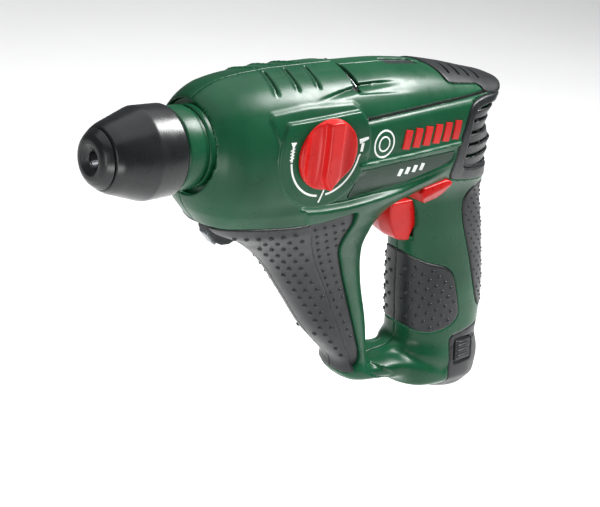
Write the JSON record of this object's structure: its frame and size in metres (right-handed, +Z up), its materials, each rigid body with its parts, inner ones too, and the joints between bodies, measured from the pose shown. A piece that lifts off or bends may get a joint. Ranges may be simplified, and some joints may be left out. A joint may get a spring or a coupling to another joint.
{
  "type": "rotary hammer",
  "caption": "Compact cordless rotary hammer with a tapered quick-change chuck, side mode dial, pistol trigger, closed D-handle with dotted grips and a pull-out battery.",
  "frame": {"origin": "on the spindle axis, at the front face of the impact bolt where the bit's shank comes to rest", "axes": "+X from the nose to the rear along the spindle axis, -Y out of the side with the mode dial, +Z up, the handle pointing to -Z"},
  "size_m": [0.2598, 0.0755, 0.1947],
  "materials": {
    "green_shell": "fine-textured moulded nylon with a satin sheen",
    "black_rubber": "dotted soft overmould",
    "black_plastic": "fine-textured black nylon",
    "chuck_black": "polished dark grey",
    "red_plastic": "satin red",
    "steel": "ground",
    "motor_steel": "zinc-plated",
    "bronze": "sintered",
    "copper": "laminated core with copper windings",
    "alloy": "die-cast",
    "white_nylon": "natural nylon",
    "carbon": "matt black",
    "clear_lens": "clear"
  },
  "bodies": {
    "housing": {"left_housing": "green_shell", "right_housing": "green_shell", "housing_screw_1": "steel", "housing_screw_2": "steel", "housing_screw_3": "steel", "housing_screw_4": "steel", "housing_screw_5": "steel", "left_brace_grip": "black_rubber", "right_brace_grip": "black_rubber", "left_handle_grip": "black_rubber", "right_handle_grip": "black_rubber", "palm_pad": "black_rubber", "rear_top_cap": "black_plastic", "rear_cover": "black_plastic", "rear_vent_grille": "black_plastic", "led_housing": "black_plastic", "led_lens": "clear_lens", "charge_display": "clear_lens", "front_collar": "green_shell", "spindle_bearing": "steel", "shaft_front_bush": "bronze", "shaft_rear_bearing": "steel", "gear_plate": "alloy", "motor_can": "motor_steel", "motor_end_cap": "white_nylon", "carbon_brush_1": "carbon", "carbon_brush_2": "carbon", "switch_module": "carbon", "battery_terminal_block": "carbon"},
    "spindle": {"bit_holder": "steel", "chuck_front_cap": "chuck_black", "hammer_tube": "steel", "spindle_gear": "steel", "sleeve_spring": "steel"},
    "chuck_sleeve": {"chuck_sleeve": "chuck_black"},
    "locking_ball": {"locking_ball": "steel"},
    "impact_bolt": {"impact_bolt": "steel"},
    "striker": {"striker": "steel"},
    "piston": {"piston": "alloy"},
    "wobble_ring": {"wobble_ring": "bronze"},
    "intermediate_shaft": {"intermediate_shaft": "steel", "wobble_hub": "steel", "drive_gear": "steel"},
    "clutch_sleeve": {"clutch_sleeve": "steel"},
    "motor_rotor": {"rotor": "copper", "motor_shaft": "steel", "commutator": "copper", "cooling_fan": "white_nylon", "motor_pinion": "steel"},
    "mode_dial": {"mode_dial": "red_plastic", "dial_shaft": "white_nylon"},
    "selector": {"selector_plate": "steel"},
    "trigger": {"trigger": "red_plastic"},
    "direction_switch": {"direction_switch": "red_plastic"},
    "battery": {"battery_case": "black_plastic", "battery_cell_1": "steel", "battery_cell_2": "steel", "battery_cell_3": "steel"},
    "left_battery_button": {"left_battery_button": "black_plastic"},
    "right_battery_button": {"right_battery_button": "black_plastic"}
  },
  "joints": [
    {"name": "motor_spin", "type": "hinge", "parent": "housing", "child": "motor_rotor", "pos_m": [0, 0, 0], "axis": [1, 0, 0], "continuous": true},
    {"name": "intermediate_spin", "type": "hinge", "parent": "housing", "child": "intermediate_shaft", "pos_m": [0, 0, -0.02], "axis": [1, 0, 0], "continuous": true},
    {"name": "spindle_spin", "type": "hinge", "parent": "housing", "child": "spindle", "pos_m": [0, 0, 0], "axis": [1, 0, 0], "continuous": true},
    {"name": "sleeve_pull", "type": "slide", "parent": "spindle", "child": "chuck_sleeve", "axis": [1, 0, 0], "range_m": [0, 0.007], "stiffness_N_per_m": 1200, "springref_m": -0.004, "deforming": ["sleeve_spring"]},
    {"name": "ball_release", "type": "slide", "parent": "spindle", "child": "locking_ball", "axis": [0, -1, 0], "range_m": [0, 0.0021]},
    {"name": "impact_bolt_slide", "type": "slide", "parent": "housing", "child": "impact_bolt", "axis": [-1, 0, 0], "range_m": [0, 0.002]},
    {"name": "striker_slide", "type": "slide", "parent": "housing", "child": "striker", "axis": [-1, 0, 0], "range_m": [-0.0045, 0.0035]},
    {"name": "wobble_tilt", "type": "hinge", "parent": "housing", "child": "wobble_ring", "pos_m": [0.078, 0, -0.02], "axis": [0, 1, 0], "range_deg": [-20, 20]},
    {"name": "piston_slide", "type": "slide", "parent": "housing", "child": "piston", "axis": [1, 0, 0], "range_m": [-0.007, 0.007]},
    {"name": "dial_turn", "type": "hinge", "parent": "housing", "child": "mode_dial", "pos_m": [0.07, -0.034, 0.0008], "axis": [0, -1, 0], "range_deg": [-90, 90]},
    {"name": "selector_slide", "type": "slide", "parent": "housing", "child": "selector", "axis": [1, 0, 0], "range_m": [-0.0035, 0.0035]},
    {"name": "clutch_shift", "type": "slide", "parent": "intermediate_shaft", "child": "clutch_sleeve", "axis": [1, 0, 0], "range_m": [-0.0035, 0.0035]},
    {"name": "trigger_pull", "type": "slide", "parent": "housing", "child": "trigger", "axis": [1, 0, 0], "range_m": [0, 0.006], "stiffness_N_per_m": 600, "springref_m": -0.005},
    {"name": "direction_push", "type": "slide", "parent": "housing", "child": "direction_switch", "axis": [0, 1, 0], "range_m": [-0.003, 0.003]},
    {"name": "battery_removal", "type": "slide", "parent": "housing", "child": "battery", "axis": [0.1771, 0, -0.9842], "range_m": [0, 0.106]},
    {"name": "left_button_press", "type": "slide", "parent": "battery", "child": "left_battery_button", "axis": [0, 1, 0], "range_m": [0, 0.002], "stiffness_N_per_m": 1500, "springref_m": -0.002},
    {"name": "right_button_press", "type": "slide", "parent": "battery", "child": "right_battery_button", "axis": [0, -1, 0], "range_m": [0, 0.002], "stiffness_N_per_m": 1500, "springref_m": -0.002}
  ],
  "couplings": [
    {"joint": "intermediate_spin", "follows": "motor_spin", "ratio": -0.19048},
    {"joint": "spindle_spin", "follows": "motor_spin", "ratio": 0.066924},
    {"joint": "piston_slide", "follows": "wobble_tilt", "m_per_rad": 0.02},
    {"joint": "selector_slide", "follows": "dial_turn", "m_per_rad": 0.002228},
    {"joint": "clutch_shift", "follows": "dial_turn", "m_per_rad": 0.002228},
    {"joint": "ball_release", "follows": "sleeve_pull", "ratio": 0.3}
  ]
}
